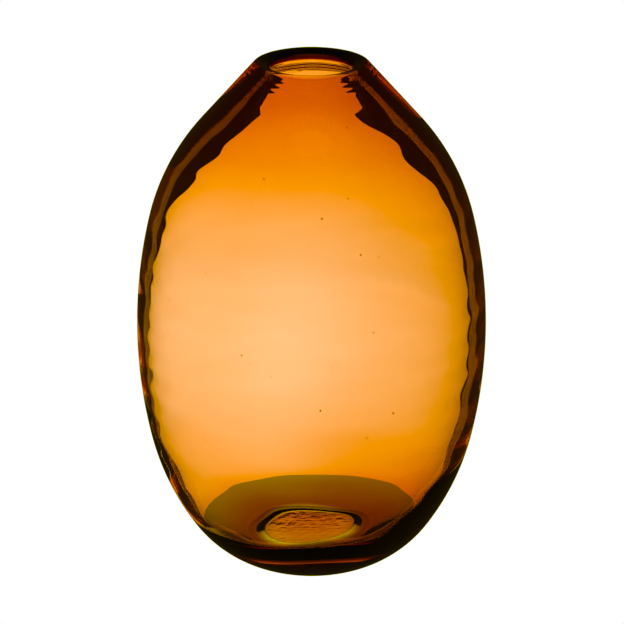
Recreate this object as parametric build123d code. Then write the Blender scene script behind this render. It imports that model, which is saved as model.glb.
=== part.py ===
"""Mouth-blown amber glass bud vase: an egg-shaped body on a ground foot ring, with a small fire-polished
mouth at the top and the disc of glass that the punty iron left in the hollow under the base.

Millimetres, +Z up, origin on the standing surface at the centre of the foot. Everything is turned about Z.
A direction in the half-section is in degrees from level: 0 is outwards, 90 is up, 180 is inwards.
"""
from build123d import *
from math import cos, radians, sin, sqrt
import os

# ---------------------------------------------------------------- driving dimensions
HEIGHT = 190.0              # standing surface to the crest of the lip

# foot
FOOT_OUTER_R = 25.0         # outer edge of the ground ring that the vase stands on
FOOT_INNER_R = 21.5         # inner edge of the ring, where the hollow under the base starts
KICK_DEPTH = 5.0            # depth of that hollow at the centre

# outside of the body: arcs joined smoothly from the foot ring to the shoulder.
# Each arc is (radius, direction at its end); the straight shoulder follows.
OUTER_START = 22.8          # direction in which the wall leaves the foot ring
OUTER_ARCS = [(45.4, 54.9), (95.7, 76.9), (179.5, 103.2), (83.5, 131.3)]

# lip, from the shoulder over the crest and into the mouth
LIP_OUTER_R = 2.6           # rounding from the shoulder over to the crest
LIP_BEVEL_R = 6.3           # gentle slope from the crest into the mouth
LIP_BEVEL_END = 211.0       # direction at which that slope turns over the edge
LIP_EDGE_R = 2.0            # rounding of the edge, the narrowest place of the mouth

# inside of the body, from the centre of the floor upwards
FLOOR_Z = 7.5               # top of the thick base at the centre
INNER_ARCS = [(107.3, 16.0), (25.7, 53.1), (81.9, 76.5), (163.6, 104.3)]
INNER_SHOULDER = 133.5      # direction of the straight inside of the shoulder, up to the lip

# disc of glass left by the punty iron
WAD_R = 18.0
WAD_Z = 1.0                 # its rough face stays this far above the standing surface


def at(r, z):
    """A point of the half-section, which lies in the XZ plane."""
    return Vector(r, 0, z)


def arc_point(centre, radius, direction, side):
    """Point of an arc where it runs in `direction`; side is +1 for a left turn and -1 for a right turn."""
    a = radians(direction)
    return at(centre.X + side * radius * sin(a), centre.Z - side * radius * cos(a))


def turn(start, direction, radius, end_direction):
    """One arc that leaves `start` in `direction` and ends in `end_direction`. Returns the edge and its end."""
    side = 1 if end_direction > direction else -1
    a = radians(direction)
    centre = at(start.X - side * radius * sin(a), start.Z + side * radius * cos(a))
    middle = arc_point(centre, radius, (direction + end_direction) / 2, side)
    end = arc_point(centre, radius, end_direction, side)
    return ThreePointArc(start, middle, end), end


def chain(start, direction, arcs):
    """Arcs joined smoothly, one after another. Returns the edges, the last point and the last direction."""
    edges = []
    for radius, end_direction in arcs:
        edge, start = turn(start, direction, radius, end_direction)
        edges.append(edge)
        direction = end_direction
    return edges, start, direction


def outside_wall():
    """Foot ring to the crest of the lip: four arcs, the straight shoulder, and the outer half of the lip."""
    edges, shoulder, slope = chain(at(FOOT_OUTER_R, 0), OUTER_START, OUTER_ARCS)
    lip_rise = LIP_OUTER_R * (1 + cos(radians(slope)))
    length = (HEIGHT - lip_rise - shoulder.Z) / sin(radians(slope))
    lip_start = at(shoulder.X + length * cos(radians(slope)), shoulder.Z + length * sin(radians(slope)))
    edges.append(Line(shoulder, lip_start))
    lip, crest = turn(lip_start, slope, LIP_OUTER_R, 180)
    edges.append(lip)
    return edges, crest


def lip_inside(crest):
    """From the crest into the mouth: the slope, then the edge, which turns down and outwards again."""
    arcs = [(LIP_BEVEL_R, LIP_BEVEL_END), (LIP_EDGE_R, INNER_SHOULDER + 180)]
    edges, throat, _ = chain(crest, 180, arcs)
    return edges, throat


def inside_wall(throat):
    """Centre of the floor to the lip: four arcs, a fifth that turns into the shoulder, and its straight run.

    The fifth radius and the length of the straight run are those that end at `throat`, the end of the lip.
    """
    edges, start, direction = chain(at(0, FLOOR_Z), 0, INNER_ARCS)
    a, b = radians(direction), radians(INNER_SHOULDER)
    across, up = throat.X - start.X, throat.Z - start.Z
    # radius * (sin b - sin a) + length * cos b = across
    # radius * (cos a - cos b) + length * sin b = up
    scale = (sin(b) - sin(a)) * sin(b) - (cos(a) - cos(b)) * cos(b)
    radius = (across * sin(b) - up * cos(b)) / scale
    length = ((sin(b) - sin(a)) * up - (cos(a) - cos(b)) * across) / scale
    print(f"inside of the shoulder: radius {radius:.1f}, then {length:.1f} straight")
    shoulder, straight_start = turn(start, direction, radius, INNER_SHOULDER)
    return edges + [shoulder, Line(straight_start, throat)]


def kick_z(r):
    """Height of the hollow under the base at radius r: a shallow dome on the inner edge of the foot ring."""
    dome_r = (FOOT_INNER_R ** 2 + KICK_DEPTH ** 2) / (2 * KICK_DEPTH)
    return KICK_DEPTH - dome_r + sqrt(dome_r ** 2 - r ** 2)


def dome(r0, r1):
    """Arc of the hollow's dome between two radii."""
    middle = (r0 + r1) / 2
    return ThreePointArc(at(r0, kick_z(r0)), at(middle, kick_z(middle)), at(r1, kick_z(r1)))


def spin(edges):
    """Turn a closed half-section once round the axis."""
    return revolve(Face(Wire(edges)), Axis.Z, 360)


def blown_body():
    """The blown bubble: thin at the waist, thicker at the shoulder and lip, thickest at the base."""
    outside, crest = outside_wall()
    lip, throat = lip_inside(crest)
    base = [
        Line(at(FOOT_INNER_R, 0), at(FOOT_OUTER_R, 0)),
        dome(0, FOOT_INNER_R),
        Line(at(0, KICK_DEPTH), at(0, FLOOR_Z)),
    ]
    print(f"crest of the lip at radius {crest.X:.2f}; lip ends at radius {throat.X:.2f}, height {throat.Z:.2f}")
    return spin(base + outside + lip + inside_wall(throat))


def pontil_wad():
    """Round wad of glass fused into the hollow; its lower face is where the iron was cracked off."""
    section = [
        Line(at(0, WAD_Z), at(WAD_R, WAD_Z)),
        Line(at(WAD_R, WAD_Z), at(WAD_R, kick_z(WAD_R))),
        dome(WAD_R, 0),
        Line(at(0, KICK_DEPTH), at(0, WAD_Z)),
    ]
    return spin(section)


def main():
    os.makedirs("parts", exist_ok=True)
    for make in (blown_body, pontil_wad):
        solid = make()
        solid.label = make.__name__
        box = solid.bounding_box()
        print(f"{solid.label}: volume {solid.volume / 1000:.1f} cm3, {box.size.X:.1f} x {box.size.Z:.1f} mm")
        export_step(solid, f"parts/{solid.label}.step")


main()
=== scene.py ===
# %% [markdown]
# # A mouth-blown amber bud vase
#
# The vase is one thick bubble of clear amber glass with a thick base, a small fire-polished mouth, and
# the rough disc that the punty iron left in the hollow under the base. Nearly all of its look is light
# that has passed through the glass, so both faces of the wall have to be true: the outside, the inside,
# and the hollow. This lesson models those faces as turned skins, gives the glass its colour by depth,
# and lights it the way glass is lit in a studio, from a bright panel behind it and darkness around.

# %% Load the frame
import math

import bpy
import numpy as np
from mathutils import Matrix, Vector


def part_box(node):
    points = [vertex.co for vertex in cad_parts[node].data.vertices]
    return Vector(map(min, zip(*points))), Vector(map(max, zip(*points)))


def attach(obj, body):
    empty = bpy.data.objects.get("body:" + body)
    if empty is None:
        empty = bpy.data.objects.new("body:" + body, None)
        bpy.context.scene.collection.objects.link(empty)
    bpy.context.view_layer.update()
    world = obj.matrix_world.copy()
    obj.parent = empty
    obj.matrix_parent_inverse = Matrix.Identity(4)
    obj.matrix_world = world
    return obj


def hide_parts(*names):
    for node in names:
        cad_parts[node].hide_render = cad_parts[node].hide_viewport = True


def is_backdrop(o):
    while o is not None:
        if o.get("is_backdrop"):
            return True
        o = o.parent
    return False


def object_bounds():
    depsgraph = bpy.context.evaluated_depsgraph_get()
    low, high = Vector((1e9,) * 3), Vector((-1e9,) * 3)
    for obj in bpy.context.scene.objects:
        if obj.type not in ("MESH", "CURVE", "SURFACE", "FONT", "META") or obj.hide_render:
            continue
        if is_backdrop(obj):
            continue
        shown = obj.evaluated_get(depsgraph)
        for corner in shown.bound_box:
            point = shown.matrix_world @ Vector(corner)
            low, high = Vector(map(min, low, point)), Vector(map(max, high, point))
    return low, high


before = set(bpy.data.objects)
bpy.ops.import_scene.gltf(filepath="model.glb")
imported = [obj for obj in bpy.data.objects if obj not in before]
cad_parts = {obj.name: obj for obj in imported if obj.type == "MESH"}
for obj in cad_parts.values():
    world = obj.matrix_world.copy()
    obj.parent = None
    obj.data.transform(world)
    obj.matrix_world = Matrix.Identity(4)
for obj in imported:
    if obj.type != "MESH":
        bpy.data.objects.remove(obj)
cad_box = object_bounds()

MM = 0.001
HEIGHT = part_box("blown_body")[1][2] / MM
print("CAD height", round(HEIGHT, 2), "mm, box", [[round(v, 4) for v in corner] for corner in cad_box])

# %% [markdown]
# ## The half-section
#
# A blown vase is turned on the blowing iron, so its section is a run of smooth arcs. The same arcs as in
# the construction are walked here, from the foot to the lip and from the floor up to it, as points about
# a millimetre apart. A direction is in degrees from level: 0 is outwards, 90 is up and 180 is inwards.
# The points stay in millimetres until the skin is made.

# %% Arcs and straight runs as points
POINT_STEP = 1.0            # mm between points on the long arcs
FINE_STEP = 0.25            # mm between points on the lip and the foot


def walk_arc(start, direction, radius, end_direction, step=POINT_STEP):
    """Points of an arc that leaves `start` in one direction and ends in another, without its start."""
    side = 1 if end_direction > direction else -1
    a, b = math.radians(direction), math.radians(end_direction)
    count = max(4, round(abs(b - a) * radius / step))
    t = np.linspace(a, b, count + 1)[1:]
    r = start[0] + side * radius * (np.sin(t) - math.sin(a))
    z = start[1] - side * radius * (np.cos(t) - math.cos(a))
    return np.column_stack([r, z])


def walk_line(start, end, step=POINT_STEP):
    """Points of a straight run, without its start."""
    start, end = np.array(start), np.array(end)
    count = max(1, round(np.hypot(*(end - start)) / step))
    t = np.linspace(0, 1, count + 1)[1:, None]
    return start + t * (end - start)


def walk_chain(start, direction, arcs, step=POINT_STEP):
    """Points of several arcs joined smoothly, with the start, and the direction at the end."""
    points = [np.array([start], dtype=float)]
    for radius, end_direction in arcs:
        points.append(walk_arc(points[-1][-1], direction, radius, end_direction, step))
        direction = end_direction
    return np.vstack(points), direction


# %% [markdown]
# ## The outside and the lip
#
# Four arcs carry the wall from the foot ring to the shoulder, then it runs straight to the mouth. The
# lip was melted smooth in the fire: it rolls over at the crest, slopes gently into the mouth and turns
# back over a rounded edge, the narrowest place.

# %% Outside and lip
FOOT_OUTER_R = 25.0
OUTER_START = 22.8          # direction in which the wall leaves the foot
# each arc is (radius, direction at its end)
OUTER_ARCS = [(45.4, 54.9), (95.7, 76.9), (179.5, 103.2), (83.5, 131.3)]
LIP_OUTER_R = 2.6           # over to the crest
LIP_BEVEL_R = 6.3           # slope from the crest into the mouth
LIP_BEVEL_END = 211.0
LIP_EDGE_R = 2.0            # edge of the mouth
INNER_SHOULDER = 133.5      # direction of the straight inside of the shoulder


def outside_points():
    """Foot ring to the crest of the lip."""
    wall, slope = walk_chain((FOOT_OUTER_R, 0), OUTER_START, OUTER_ARCS)
    a = math.radians(slope)
    length = (HEIGHT - LIP_OUTER_R * (1 + math.cos(a)) - wall[-1][1]) / math.sin(a)
    shoulder = walk_line(wall[-1], wall[-1] + length * np.array([math.cos(a), math.sin(a)]))
    lip = walk_arc(shoulder[-1], slope, LIP_OUTER_R, 180, FINE_STEP)
    return np.vstack([wall, shoulder, lip])


def lip_points(crest):
    """Crest of the lip into the mouth, up to where the inside of the shoulder starts."""
    arcs = [(LIP_BEVEL_R, LIP_BEVEL_END), (LIP_EDGE_R, INNER_SHOULDER + 180)]
    return walk_chain(crest, 180, arcs, FINE_STEP)[0]


outside = outside_points()
lip = lip_points(outside[-1])
print("outside", len(outside), "points, widest radius", round(outside[:, 0].max(), 2), "mm")
print("lip", len(lip), "points, mouth radius", round(lip[:, 0].min(), 2), "mm")

# %% [markdown]
# ## The inside
#
# The inside isn't parallel to the outside: glass gathers at the base and the shoulder, so the wall is
# 2.4 mm at the waist, 4 to 6 mm near the foot and 5 to 6 mm at the top of the shoulder. That changing
# depth is what shades the vase from pale honey in the middle to deep orange at the top. The last arc and
# the straight run are solved so that they meet the lip exactly.

# %% Inside
FLOOR_Z = 7.5               # top of the base at the centre
MARKED_RUN = 7.0            # mm of the straight run, next to the lip, that carries fine tool marks
INNER_ARCS = [(107.3, 16.0), (25.7, 53.1), (81.9, 76.5), (163.6, 104.3)]


def inside_points(throat):
    """Centre of the floor up to the lip."""
    wall, direction = walk_chain((0, FLOOR_Z), 0, INNER_ARCS)
    a, b = math.radians(direction), math.radians(INNER_SHOULDER)
    runs = [[math.sin(b) - math.sin(a), math.cos(b)], [math.cos(a) - math.cos(b), math.sin(b)]]
    radius, length = np.linalg.solve(runs, throat - wall[-1])
    shoulder = walk_arc(wall[-1], direction, radius, INNER_SHOULDER)
    print("inside of the shoulder: radius", round(radius, 1), "then", round(length, 1), "mm straight")
    marked = throat + MARKED_RUN * np.array([-math.cos(b), -math.sin(b)])
    run = walk_line(shoulder[-1], marked)
    return np.vstack([wall, shoulder, run, walk_line(marked, throat, FINE_STEP)])


inside = inside_points(lip[-1])
print("inside", len(inside), "points")

# %% [markdown]
# ## The hollow, the foot ring and the punty disc
#
# The underside is pushed up while soft, so the vase stands on a narrow ring that is ground flat
# afterwards. The punty iron held the vase here by a gather of glass, and when it was cracked off it left
# a round disc with a rough face. The disc is fused to the base, so light meets no surface between the
# two, only the outer skins. That is why both are modelled as skins that meet at a clear joint.

# %% Underside
FOOT_INNER_R = 21.5
KICK_DEPTH = 5.0
WORN_EDGE = 0.4             # strip at each edge of the ground ring that wear has polished
WAD_R = 18.0
WAD_Z = 1.0
WAD_EDGE_R = 0.5
JOINT_GAP = 0.01            # mm between the two skins at the fused joint, so that they never coincide


def kick_z(r):
    """Height of the hollow at radius r: a shallow dome on the inner edge of the foot ring."""
    dome_r = (FOOT_INNER_R ** 2 + KICK_DEPTH ** 2) / (2 * KICK_DEPTH)
    return KICK_DEPTH - dome_r + np.sqrt(dome_r ** 2 - np.square(r))


def dome_points(r0, r1, step=0.5):
    """Points of the hollow between two radii, with both ends."""
    r = np.linspace(r0, r1, max(2, round(abs(r1 - r0) / step)) + 1)
    return np.column_stack([r, kick_z(r)])


joint = dome_points(0, WAD_R)
hollow = dome_points(WAD_R, FOOT_INNER_R)[1:]
ring = np.vstack([
    [[FOOT_INNER_R + WORN_EDGE, 0]],
    walk_line((FOOT_INNER_R + WORN_EDGE, 0), (FOOT_OUTER_R - WORN_EDGE, 0), FINE_STEP),
])
print("hollow", KICK_DEPTH, "mm deep; ring", FOOT_INNER_R, "to", FOOT_OUTER_R, "mm")

# %% [markdown]
# ## Hand-made waves
#
# No blown wall is even. Chill marks, cords and the turning of the iron leave long shallow waves, about a
# tenth of a millimetre deep, with fainter short ripples over them, and they make the edges of the bright
# field wander. Both are sums of cosines round the vase and up it, with seeded phases, so every run gives
# the same glass. They are put on the inside, because the block and the wet paper keep the outside
# smooth.

# %% Waves
SEED = 7
WAVE_COUNT = 26
WAVE_DEPTH = 0.09           # mm
WAVE_TURNS = (1, 8)         # times round the vase, the second not included
WAVE_RATE = (0.3, 2.4)      # radians up the wall over WAVE_SPAN
WAVE_SPAN = 60.0            # mm
RIPPLE_COUNT = 14
RIPPLE_DEPTH = 0.03         # mm
RIPPLE_TURNS = (1, 6)
RIPPLE_LENGTH = (9, 25)     # mm up the wall
QUIET_FLOOR = (20, 52)      # mm, heights between which the waves fade in
QUIET_LIP = (186, 174)      # and fade out again
rng = np.random.default_rng(SEED)
WAVES = [
    (rng.integers(*WAVE_TURNS), rng.uniform(*WAVE_RATE) / WAVE_SPAN, *rng.uniform(0, 2 * math.pi, 2))
    for _ in range(WAVE_COUNT)
]
RIPPLES = [
    (rng.integers(*RIPPLE_TURNS), 2 * math.pi / rng.uniform(*RIPPLE_LENGTH), *rng.uniform(0, 2 * math.pi, 2))
    for _ in range(RIPPLE_COUNT)
]


def fade(value, low, high):
    """0 below low, 1 above high, smooth between them. Swapped limits fade the other way."""
    t = np.clip((value - low) / (high - low), 0, 1)
    return t * t * (3 - 2 * t)


def wall_waves(phi, z):
    """Radial waves of the inside, in mm, quiet near the floor and the lip."""
    total = np.zeros(np.broadcast(phi, z).shape)
    for waves, depth in ((WAVES, WAVE_DEPTH), (RIPPLES, RIPPLE_DEPTH)):
        for turns, rate, phase_round, phase_up in waves:
            wave = np.cos(turns * phi + phase_round) * np.cos(rate * z + phase_up)
            total = total + wave * depth * 2 / math.sqrt(len(waves))
    return total * fade(z, *QUIET_FLOOR) * fade(z, *QUIET_LIP)


print(WAVE_COUNT, "waves and", RIPPLE_COUNT, "ripples")

# %% [markdown]
# ## Jack marks in the mouth
#
# The mouth was opened with steel jacks. Their blades leave a few fine rings just inside the lip, and
# seen across the mouth they show as a brown streaked band. They are ripples a millimetre or two apart,
# uneven round the mouth, on the first millimetres below the edge. They are drawn deeper than most real
# ones, so that they show.

# %% Jack marks
JACK_TOP, JACK_LOW = 185.4, 180.6       # mm, heights between which the marks lie
JACK_TOP_FADE, JACK_LOW_FADE = 0.8, 0.6
JACK_SIDE = math.radians(85)            # where the blade was pressed in, at the back of the mouth
JACK_REACH = (0.3, 0.9)     # cosine of the angle from there, over which the marks deepen
JACK_REST = 0.12            # share of the depth elsewhere
JACK_PITCH = 1.6            # mm
JACK_DEPTH = 0.3            # mm


def jack_marks(phi, z):
    """Radial ripples just under the lip, in mm."""
    wander = 0.7 * np.sin(3 * phi + 1.0) + 0.4 * np.sin(7 * phi)
    rings = np.sin(2 * math.pi * z / JACK_PITCH + wander)
    pressed = JACK_REST + (1 - JACK_REST) * fade(np.cos(phi - JACK_SIDE), *JACK_REACH)
    low_end = fade(z, JACK_LOW - JACK_LOW_FADE, JACK_LOW + JACK_LOW_FADE)
    return JACK_DEPTH * pressed * rings * low_end * fade(z, JACK_TOP, JACK_TOP - JACK_TOP_FADE)


# %% [markdown]
# ## Turning a skin
#
# A skin starts and ends on the axis, and is closed by being turned: one ring of corners for each point
# of the section, quads between the rings, and a fan at each end. Going up the outside and down the
# inside keeps the faces turned outwards. Each stretch of the section carries the number of its finish.

# %% Turn a skin
SEGMENTS = 256
PHI = np.linspace(0, 2 * math.pi, SEGMENTS, endpoint=False)[None, :]
FIT = 0.9994                # keeps the round skin inside the faceted CAD box
SHARP_ANGLE = 40            # degrees between faces that shows as an edge
POLISHED, ROUGH, CLEAR_JOINT = 0, 1, 2      # finish numbers


def turn_skin(name, stretches, shape=None):
    """Mesh object from stretches of (points, finish number). shape(r, z, phi) gives moved r and z in mm."""
    points = np.vstack([p for p, _ in stretches])
    finish = np.concatenate([[number] * len(p) for p, number in stretches])
    r, z = (points[1:-1, k, None] + 0 * PHI for k in (0, 1))
    if shape:
        r, z = shape(r, z, PHI)
    rings = np.stack([r * FIT * np.cos(PHI), r * FIT * np.sin(PHI), z], axis=2).reshape(-1, 3)
    corners = np.vstack([[[0, 0, points[0, 1]]], rings, [[0, 0, points[-1, 1]]]]) * MM
    faces, numbers = [], []
    for j in range(SEGMENTS):
        k = (j + 1) % SEGMENTS
        faces.append((0, 1 + k, 1 + j))
        numbers.append(finish[1])
    for i in range(len(points) - 3):
        low = 1 + i * SEGMENTS
        high = low + SEGMENTS
        for j in range(SEGMENTS):
            k = (j + 1) % SEGMENTS
            faces.append((low + j, low + k, high + k, high + j))
            numbers.append(finish[i + 2])
    last = len(corners) - 1
    for j in range(SEGMENTS):
        k = (j + 1) % SEGMENTS
        faces.append((last - SEGMENTS + j, last - SEGMENTS + k, last))
        numbers.append(finish[-1])
    mesh = bpy.data.meshes.new(name)
    mesh.from_pydata(corners.tolist(), [], faces)
    mesh.polygons.foreach_set("material_index", np.array(numbers, dtype=np.int32))
    mesh.polygons.foreach_set("use_smooth", np.ones(len(faces), dtype=bool))
    mesh.update()
    mesh.set_sharp_from_angle(angle=math.radians(SHARP_ANGLE))
    piece = bpy.data.objects.new(name, mesh)
    bpy.context.collection.objects.link(piece)
    print(name, len(corners), "corners", len(faces), "faces")
    return piece


print(SEGMENTS, "corners round each ring")

# %% [markdown]
# ## The body
#
# The outside was blocked and turned true, but the bubble inside it is free: it sits a little to one
# side, and its floor settles on a slant and in low humps. All of that is put on the inside only.

# %% Body
FLOOR_TILT = 0.045          # rise of the floor to the right, per mm
FLOOR_ROLL = 0.45           # mm, uneven settling of the floor round its edge
FLOOR_ZONE = (40, 16)       # mm, heights between which the floor's slant fades in, going down
ROLL_ZONE = (18, 30)        # mm from the axis, where the humps fade in
CAVITY_SHIFT = 0.35         # mm, the bubble sits this far to the left of the outside
SHIFT_LOW, SHIFT_HIGH = (10, 40), (184, 150)    # mm, heights over which the shift fades in and out


def body_shape(r, z, phi):
    """Waves, jack marks and the tilted floor on the inside; the outside keeps its turned shape."""
    rows = np.arange(len(r))[:, None] >= INSIDE_ROW
    low = fade(z, *FLOOR_ZONE)
    tilt = FLOOR_TILT * r * np.cos(phi)
    roll = FLOOR_ROLL * (np.sin(3 * phi + 0.6) + 0.6 * np.sin(5 * phi + 2.0)) * fade(r, *ROLL_ZONE)
    shift = CAVITY_SHIFT * np.cos(phi) * fade(z, *SHIFT_LOW) * fade(z, *SHIFT_HIGH)
    moved_r = r + rows * (wall_waves(phi, z) + jack_marks(phi, z) - shift)
    return moved_r, z + rows * (tilt + roll) * low


body_stretches = [
    (joint, CLEAR_JOINT),
    (hollow, POLISHED),
    (ring, ROUGH),
    (outside, POLISHED),
    (lip[1:], POLISHED),
    (inside[::-1][1:], POLISHED),
]
INSIDE_ROW = sum(len(points) for points, _ in body_stretches[:-1]) - 1     # first ring of the inside
blown_glass = turn_skin("blown_glass_body", body_stretches, body_shape)
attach(blown_glass, "root")
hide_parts("blown_body")

# %% [markdown]
# ## The punty disc
#
# The iron is tapped and the joint cracks, so the face is not smooth: it has shallow shells and torn
# ridges from about a millimetre to more than a centimetre wide. They are kept shallow, because deep ones
# send the light back into the glass and turn the disc dark. The rim is rounded.

# %% Punty disc
CHIP_WAVES = 60
CHIP_DEPTH = 0.06           # mm, typical height from the mean
CHIP_RATE = (0.25, 2.2)     # radians per mm, before the spread of directions
RIM_FADE = (0.8, 2.0)       # mm in from the rim, where the chips fade in
chips = [
    (*rng.normal(0, 1, 2) * rng.uniform(*CHIP_RATE), rng.uniform(0, 2 * math.pi))
    for _ in range(CHIP_WAVES)
]


def chip_height(x, y):
    """Torn face of the disc, as a share of CHIP_DEPTH, from many short waves in every direction."""
    total = sum(np.abs(np.sin(0.5 * (a * x + b * y) + c)) for a, b, c in chips) / CHIP_WAVES
    return (total - total.mean()) / total.std()


def disc_shape(r, z, phi):
    """Roughens the lower face of the disc, away from its rounded rim."""
    face = (z < WAD_Z + 0.02) * fade(r, *(WAD_R - depth for depth in RIM_FADE))
    return r, z + face * CHIP_DEPTH * chip_height(r * np.cos(phi), r * np.sin(phi))


scar_face = walk_line((0, WAD_Z), (WAD_R - WAD_EDGE_R, WAD_Z), FINE_STEP)
disc_edge = walk_arc(scar_face[-1], 0, WAD_EDGE_R, 90, 0.15)
disc_top = dome_points(WAD_R, 0) - [0, JOINT_GAP]
disc = turn_skin("punty_disc", [
    (np.vstack([[[0, WAD_Z]], scar_face]), ROUGH),
    (disc_edge, POLISHED),
    (disc_top, CLEAR_JOINT),
], disc_shape)
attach(disc, "root")
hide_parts("pontil_wad")

# %% [markdown]
# ## Seeds
#
# Seeds are air bubbles trapped in the glass, from a third of a millimetre to 1.4 mm long and drawn out
# upwards. Each is a small egg in the middle of the wall. To light inside the glass a bubble is a lens of
# lower index, so its own index is that of air divided by that of glass.

# %% Seeds
SEED_COUNT = 34
SEED_SIZES, SEED_SHARES = [0.16, 0.2, 0.26, 0.36], [0.4, 0.3, 0.2, 0.1]     # radius in mm, and how common
SEED_HEIGHTS = (26, 172)    # mm
SEED_DEPTHS = (0.35, 0.65)  # share of the wall, from the inside
SEED_STRETCH = (1.1, 1.9)


def wall_radii(z):
    """Outer and inner radius at a height, in mm."""
    order = inside[:, 1].argsort()
    return np.interp(z, outside[:, 1], outside[:, 0]), np.interp(z, inside[order, 1], inside[order, 0])


def add_seeds():
    """All seeds as one mesh of small eggs."""
    bpy.ops.mesh.primitive_ico_sphere_add(subdivisions=3, radius=1)
    egg = bpy.context.object
    corners = np.array([v.co for v in egg.data.vertices])
    triangles = [tuple(p.vertices) for p in egg.data.polygons]
    bpy.data.objects.remove(egg)
    all_corners, all_faces = [], []
    for _ in range(SEED_COUNT):
        z, phi, depth = rng.uniform(*SEED_HEIGHTS), rng.uniform(0, 2 * math.pi), rng.uniform(*SEED_DEPTHS)
        outer, inner = wall_radii(z)
        middle = inner + depth * (outer - inner)
        size = rng.choice(SEED_SIZES, p=SEED_SHARES)
        centre = np.array([middle * math.cos(phi), middle * math.sin(phi), z])
        stretch = np.array([1, 1, rng.uniform(*SEED_STRETCH)])
        start = len(all_corners) * len(corners)
        all_corners.append((centre + corners * size * stretch) * MM)
        all_faces += [tuple(start + v for v in face) for face in triangles]
    mesh = bpy.data.meshes.new("seeds_in_the_wall")
    mesh.from_pydata(np.vstack(all_corners).tolist(), [], all_faces)
    mesh.polygons.foreach_set("use_smooth", np.ones(len(all_faces), dtype=bool))
    mesh.update()
    piece = bpy.data.objects.new("seeds_in_the_wall", mesh)
    bpy.context.collection.objects.link(piece)
    return piece


seeds = add_seeds()
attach(seeds, "root")
print(SEED_COUNT, "seeds")

# %% [markdown]
# ## Helpers for finishes
#
# One function adds a node with its settings and links. Another turns an sRGB hex colour into the linear
# numbers that shaders use.

# %% Node helper and colours


def linear(hex_colour):
    """Linear RGB of an sRGB colour such as #ffb070."""
    parts = [int(hex_colour[k:k + 2], 16) / 255 for k in (1, 3, 5)]
    return [c / 12.92 if c <= 0.04045 else ((c + 0.055) / 1.055) ** 2.4 for c in parts]


def node(tree, kind, inputs=None, **settings):
    """Adds a node. inputs maps a socket's name or number to a value or to another node's output."""
    made = tree.nodes.new(kind)
    for key, value in settings.items():
        setattr(made, key, value)
    for key, value in (inputs or {}).items():
        if isinstance(value, bpy.types.NodeSocket):
            tree.links.new(value, made.inputs[key])
        else:
            made.inputs[key].default_value = value
    return made


def new_material(name):
    """An empty material and its node tree."""
    material = bpy.data.materials.new(name)
    material.use_nodes = True
    material.node_tree.nodes.clear()
    return material, material.node_tree


# %% [markdown]
# ## Amber glass
#
# Soda-lime glass has an index close to 1.5 and no colour of its own. Iron and sulphur make it amber by
# taking light away with depth: little red, more green and nearly all the blue. So the surface is clear
# and the colour is an absorption, worked out from the sRGB colour that white light has after 10 mm.

# %% Absorption
GLASS_INDEX = 1.5
AMBER_AT_10_MM = "#c46237"
DEPTH = 10 * MM


def absorption(tree):
    """Volume node that gives white light the amber colour over DEPTH."""
    rates = [-math.log(c) / DEPTH for c in linear(AMBER_AT_10_MM)]
    strongest = max(rates)
    colour = [1 - rate / strongest for rate in rates]
    print("absorbed per metre", [round(rate) for rate in rates])
    return node(tree, "ShaderNodeVolumeAbsorption", {"Color": (*colour, 1), "Density": strongest})


# %% [markdown]
# ## Finishes of the glass
#
# Fire-polished glass is as smooth as a liquid, with only faint cords left by the gather. The ground foot
# ring is matt, from grit of about 0.1 mm, drawn at 0.35 mm so that it shows. The cracked face of the
# disc is rough in grains about 0.9 mm wide. The fused joint between body and disc lets light straight
# through.

# %% Glass finishes


def glass_finish(name, roughness, grain_mm, bump_mm, stretch=1.0):
    """Amber glass whose roughness (low, high) and fine relief follow a grain of a given size."""
    material, tree = new_material(name)
    place = node(tree, "ShaderNodeTexCoord").outputs["Object"]
    spread = node(tree, "ShaderNodeMapping", {"Vector": place, "Scale": (1, 1, 1 / stretch)})
    grain = node(tree, "ShaderNodeTexNoise", {
        "Vector": spread.outputs["Vector"], "Scale": 1 / (grain_mm * MM), "Detail": 3.0,
    }).outputs["Fac"]
    rough = node(tree, "ShaderNodeMapRange", {
        "Value": grain, "From Min": 0.3, "From Max": 0.7, "To Min": roughness[0], "To Max": roughness[1],
    }).outputs["Result"]
    bump = node(tree, "ShaderNodeBump", {"Height": grain, "Strength": 1.0, "Distance": bump_mm * MM})
    surface = node(tree, "ShaderNodeBsdfPrincipled", {
        "Base Color": (1, 1, 1, 1),
        "Roughness": rough,
        "Normal": bump.outputs["Normal"],
    })
    surface.inputs["IOR"].default_value = GLASS_INDEX
    surface.inputs["Transmission Weight"].default_value = 1.0
    node(tree, "ShaderNodeOutputMaterial", {
        "Surface": surface.outputs["BSDF"], "Volume": absorption(tree).outputs["Volume"],
    })
    return material


def fused_joint():
    """No surface at all to light, with the same amber on both sides."""
    material, tree = new_material("fused_glass_joint")
    clear = node(tree, "ShaderNodeBsdfTransparent", {"Color": (1, 1, 1, 1)})
    node(tree, "ShaderNodeOutputMaterial", {
        "Surface": clear.outputs["BSDF"], "Volume": absorption(tree).outputs["Volume"],
    })
    return material


polished = glass_finish("fire_polished_amber_glass", (0.0, 0.004), 14.0, 0.004, stretch=3.0)
ground = glass_finish("ground_amber_glass", (0.25, 0.45), 0.35, 0.02)
cracked = glass_finish("cracked_amber_glass", (0.04, 0.25), 0.9, 0.03)
joint_finish = fused_joint()
for finish in (polished, ground, joint_finish):
    blown_glass.data.materials.append(finish)
for finish in (polished, cracked, joint_finish):
    disc.data.materials.append(finish)
print("finishes", [m.name for m in bpy.data.materials if "glass" in m.name])

# %% Seed finish


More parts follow.
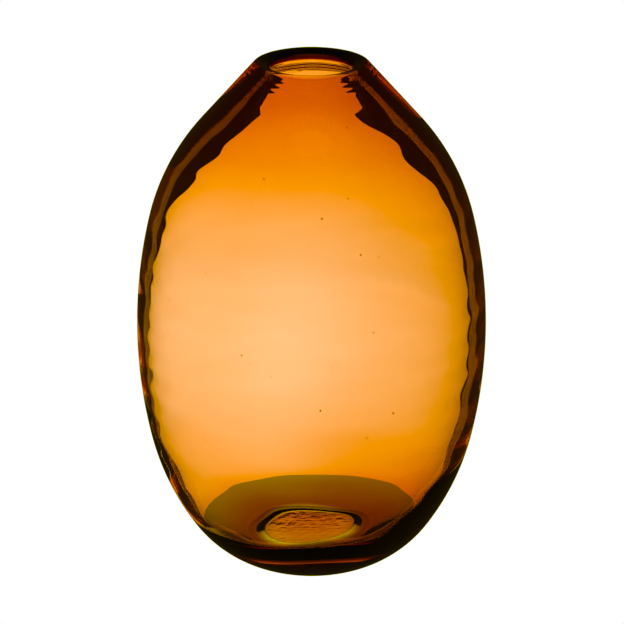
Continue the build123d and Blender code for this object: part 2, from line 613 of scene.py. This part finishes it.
def seed_air():
    """The skin of an air bubble in glass, a little uneven."""
    material, tree = new_material("air_bubble_in_glass")
    place = node(tree, "ShaderNodeTexCoord").outputs["Object"]
    grain = node(tree, "ShaderNodeTexNoise", {"Vector": place, "Scale": 1 / (0.3 * MM)}).outputs["Fac"]
    bump = node(tree, "ShaderNodeBump", {"Height": grain, "Distance": 0.01 * MM})
    skin = node(tree, "ShaderNodeBsdfGlass", {"Roughness": 0.0, "IOR": 1 / GLASS_INDEX,
                                              "Normal": bump.outputs["Normal"]})
    node(tree, "ShaderNodeOutputMaterial", {"Surface": skin.outputs["BSDF"]})
    return material


seeds.data.materials.append(seed_air())

# %% [markdown]
# ## The camera
#
# The view is from 19 degrees above the table, through a long lens, so the outline is almost that of a
# drawing. Depth of field stays off.

# %% Camera
CAMERA_ELEVATION = 19.0
CAMERA_DISTANCE = 1.65      # metres
CAMERA_LENS, SENSOR_WIDTH = 259, 36     # mm
AIM = Vector((0.00018, 0, 0.09447))
camera = bpy.data.objects.new("camera", bpy.data.cameras.new("camera"))
bpy.context.collection.objects.link(camera)
tilt = math.radians(CAMERA_ELEVATION)
camera_back = Vector((0, -math.cos(tilt), math.sin(tilt)))
camera.location = AIM + camera_back * CAMERA_DISTANCE
camera.rotation_euler = camera_back.to_track_quat("Z", "Y").to_euler()
camera.data.sensor_width = SENSOR_WIDTH
camera.data.lens = CAMERA_LENS
camera.data.clip_start, camera.data.clip_end = 0.05, 100
bpy.context.scene.camera = camera
print("camera at", [round(v, 3) for v in camera.location])

# %% [markdown]
# ## Light for glass
#
# Glass is lit by what stands behind it. A bright panel fills only the middle of what the vase can show,
# and darkness round the panel draws the black edge lines and the dark lobes of the shoulder. The panel
# and a faint card in front move with the camera, so every side is lit alike. The card is tinted, so that
# the dark edges stay brown and not grey. The surroundings only act on light that the glass bends or
# mirrors: the eye itself sees a plain white sweep.

# %% Emitting cards
WHITE = "#ffffff"


def emission(name, colour, strength):
    """Plain emitter of a strength that may be a number or another node's output."""
    material, tree = new_material(name)
    glow = node(tree, "ShaderNodeEmission", {"Color": (*linear(colour), 1)})
    node(tree, "ShaderNodeOutputMaterial", {"Surface": glow.outputs["Emission"]})
    if strength is not None:
        glow.inputs["Strength"].default_value = strength
    return material, tree, glow


def show_only(piece, *rays):
    """A stage piece that is seen by the named kinds of ray only."""
    for ray in ("camera", "transmission", "glossy", "diffuse", "shadow"):
        setattr(piece, "visible_" + ray, ray in rays)
    piece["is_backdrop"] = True


def card(name, half_width, half_height, place, material):
    """A flat card that faces the camera and moves with it; place is in the camera's own axes."""
    corners = [(x * half_width, y * half_height, 0) for x, y in ((-1, -1), (1, -1), (1, 1), (-1, 1))]
    mesh = bpy.data.meshes.new(name)
    mesh.from_pydata(corners, [], [(0, 1, 2, 3)])
    mesh.materials.append(material)
    piece = bpy.data.objects.new(name, mesh)
    bpy.context.collection.objects.link(piece)
    piece.parent = camera
    piece.location = place
    return piece


# %% Bright panel
PANEL_BEHIND = 3.0          # metres behind the vase
PANEL_SIDE, PANEL_TOP, PANEL_LOW = 14.0, 15.5, -40.0    # degrees from the line of sight
PANEL_STRENGTH = 1.74
PANEL_SIDE_FALL = 0.5       # strength lost per metre towards the right
# height in metres from the line of sight, and share of the strength there
PANEL_STEPS = [(-2.5, 0.98), (-0.14, 0.98), (0.0, 1.0), (0.13, 0.94), (0.30, 1.0), (0.86, 1.0)]
PANEL_CUT_HEIGHT = 3.0      # degrees above the line of sight where the top corners start to slope in
PANEL_CUT_SHARE = 0.20      # share of the width that is left at the top


def panel_material(low, high):
    """White light, a little stronger on the left, as from a softbox set slightly to that side.

    A float curve ends at 1, so its levels are halved going in and doubled coming out.
    """
    material, tree, glow = emission("panel_light", WHITE, None)
    place = node(tree, "ShaderNodeTexCoord").outputs["Object"]
    axes = node(tree, "ShaderNodeSeparateXYZ", {"Vector": place}).outputs
    up = node(tree, "ShaderNodeMapRange", {"Value": axes["Y"], "From Min": low, "From Max": high})
    ramp = node(tree, "ShaderNodeFloatCurve", {"Value": up.outputs["Result"]})
    curve = ramp.mapping.curves[0]
    steps = [((y - low) / (high - low), level / 2) for y, level in PANEL_STEPS]
    curve.points[0].location = steps[0]
    curve.points[1].location = steps[-1]
    for step in steps[1:-1]:
        curve.points.new(*step)
    for point in curve.points:
        point.handle_type = "AUTO_CLAMPED"
    ramp.mapping.update()
    side = node(tree, "ShaderNodeMath", {0: axes["X"], 1: -PANEL_SIDE_FALL, 2: PANEL_STRENGTH},
                operation="MULTIPLY_ADD").outputs[0]
    level = node(tree, "ShaderNodeMath", {0: ramp.outputs["Value"], 1: side}, operation="MULTIPLY")
    double = node(tree, "ShaderNodeMath", {0: level.outputs[0], 1: 2.0}, operation="MULTIPLY")
    tree.links.new(double.outputs[0], glow.inputs["Strength"])
    return material


def add_panel():
    """The panel's origin is on the line of sight, so its heights are measured from there."""
    angles = (PANEL_SIDE, PANEL_TOP, PANEL_LOW, PANEL_CUT_HEIGHT)
    side, top, low, cut = (PANEL_BEHIND * math.tan(math.radians(a)) for a in angles)
    right = [(side, low), (side, cut), (side * PANEL_CUT_SHARE, top)]
    outline = right + [(-x, y) for x, y in reversed(right)]
    mesh = bpy.data.meshes.new("bright_panel")
    mesh.from_pydata([(x, y, 0) for x, y in outline], [], [range(len(outline))])
    mesh.materials.append(panel_material(low, top))
    panel = bpy.data.objects.new("bright_panel", mesh)
    bpy.context.collection.objects.link(panel)
    panel.parent = camera
    panel.location = (0, 0, -(CAMERA_DISTANCE + PANEL_BEHIND))
    show_only(panel, "transmission")


add_panel()
print("panel", PANEL_BEHIND, "m behind the vase")

# %% Front card
FRONT_HALF_SIZE = 2.0       # metres
FRONT_BEHIND_CAMERA = 0.4   # metres
front = card("front_card", FRONT_HALF_SIZE, FRONT_HALF_SIZE, (0, 0, FRONT_BEHIND_CAMERA),
             emission("front_light", "#ffaa98", 0.22)[0])
show_only(front, "transmission", "glossy")

# %% Dark surround
SURROUND_R = 8              # metres
bpy.ops.mesh.primitive_uv_sphere_add(segments=32, ring_count=16, radius=SURROUND_R)
surround = bpy.context.object
surround.name = "dark_surround"
surround.data.materials.append(emission("dark_cloth", "#ffc8b8", 0.03)[0])
show_only(surround, "transmission", "glossy")

# %% [markdown]
# ## The table
#
# The vase stands on a pale table, which the eye sees as white. What the thick base shows of it is old
# gold and olive. That takes a stage trick: a glowing patch that only the glass sees, and whose light is
# far greener under the foot than any real table's. A plain white patch would turn the punty disc red in
# so much amber. From high above, the disc therefore glows more yellow-green than a real one. The patch
# glows less than the panel round the foot, and less again at its front: that dimming is painted shadow
# of the vase on the table.

# %% Table
PATCH_R = 0.062             # metres from the axis, front and back
PATCH_WIDE = 0.75           # width of the patch as a share of its depth
# The far colour glows less than the panel: painted shadow of the vase on the table round its foot.
PATCH_NEAR, PATCH_FAR = (2.3, 14.0, 1.0, 1), (0.55, 0.9, 1.0, 1)     # light under the foot and round it
PATCH_RAMP = (0.017, 0.030)     # metres from the axis, where the first turns into the second
# Painted shadow of the foot on the table: towards the eye the patch dims to a fifth of its light.
PATCH_PAINTED_SHADOW = (-0.021, -0.010)  # metres; nearer to the eye than this the foot shades the table
PATCH_PAINTED_SHADOW_SHARE = 0.2               # light that is left there
PATCH_DROP, FLOOR_DROP = -0.4 * MM, -0.8 * MM   # heights, just below the foot
FLOOR_R = 6                 # metres


def add_table_patch():
    """Glowing disc under the foot, seen only through the glass."""
    spot = (0, 0, PATCH_DROP)
    bpy.ops.mesh.primitive_circle_add(vertices=96, radius=PATCH_R, fill_type="NGON", location=spot)
    patch = bpy.context.object
    patch.name = "table_patch"
    patch.scale.x = PATCH_WIDE
    material, tree, glow = emission("table_light", WHITE, 1.0)
    place = node(tree, "ShaderNodeTexCoord").outputs["Object"]
    away = node(tree, "ShaderNodeVectorMath", {"Vector": place}, operation="LENGTH").outputs["Value"]
    share = node(tree, "ShaderNodeMapRange", {
        "Value": away, "From Min": PATCH_RAMP[0], "From Max": PATCH_RAMP[1],
    }, interpolation_type="SMOOTHSTEP").outputs["Result"]
    blend = tree.nodes.new("ShaderNodeMix")
    blend.data_type = "RGBA"
    tree.links.new(share, blend.inputs["Factor"])
    blend.inputs[6].default_value = PATCH_NEAR      # the two colour sockets of a mix node
    blend.inputs[7].default_value = PATCH_FAR
    tree.links.new(blend.outputs[2], glow.inputs["Color"])
    axes = node(tree, "ShaderNodeSeparateXYZ", {"Vector": place}).outputs
    # painted shadow: the glow dims towards the eye, as if the foot shaded the table
    painted_shadow = node(tree, "ShaderNodeMapRange", {
        "Value": axes["Y"], "From Min": PATCH_PAINTED_SHADOW[0], "From Max": PATCH_PAINTED_SHADOW[1],
        "To Min": PATCH_PAINTED_SHADOW_SHARE,
    }).outputs["Result"]
    tree.links.new(painted_shadow, glow.inputs["Strength"])
    patch.data.materials.append(material)
    show_only(patch, "transmission")


def add_floor():
    """Wide pale floor that the eye sees; the glass shows the patch instead."""
    spot = (0, 0, FLOOR_DROP)
    bpy.ops.mesh.primitive_circle_add(vertices=64, radius=FLOOR_R, fill_type="NGON", location=spot)
    floor = bpy.context.object
    floor.name = "pale_floor"
    floor.data.materials.append(emission("pale_floor_white", WHITE, 1.0)[0])
    show_only(floor, "camera")


add_table_patch()
add_floor()
print("table patch reaches", round(PATCH_R / MM), "mm to the front and back")

# %% [markdown]
# ## The white sweep and the exposure
#
# The eye sees white round the vase, but the glass must not, so the world is hidden from bent and
# mirrored light. Light bounces many times inside thick glass, so the limits are high. Blue below the
# black level is cut to nothing, as a camera cuts it in a saturated amber.

# %% World and exposure
BLUE_BLACK = 0.13
scene = bpy.context.scene
world = bpy.data.worlds.new("white_sweep")
scene.world = world
world.use_nodes = True
world.node_tree.nodes["Background"].inputs["Color"].default_value = (1, 1, 1, 1)
world.node_tree.nodes["Background"].inputs["Strength"].default_value = 1.0
world.cycles_visibility.transmission = False
world.cycles_visibility.glossy = False
world.cycles_visibility.diffuse = False
scene.view_settings.view_transform = "Standard"
scene.view_settings.use_curve_mapping = True
scene.view_settings.curve_mapping.black_level = (0, 0, BLUE_BLACK)
scene.view_settings.curve_mapping.update()
scene.cycles.max_bounces = 24
scene.cycles.transmission_bounces = 24
scene.cycles.glossy_bounces = 12
scene.cycles.transparent_max_bounces = 16

# %% Sizes and finish
visual_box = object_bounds()
for corner, sign in ((0, 1), (1, -1)):
    room = [round(sign * (visual_box[corner][k] - cad_box[corner][k]) / MM, 3) for k in range(3)]
    print("room inside the box at corner", corner, room, "mm")
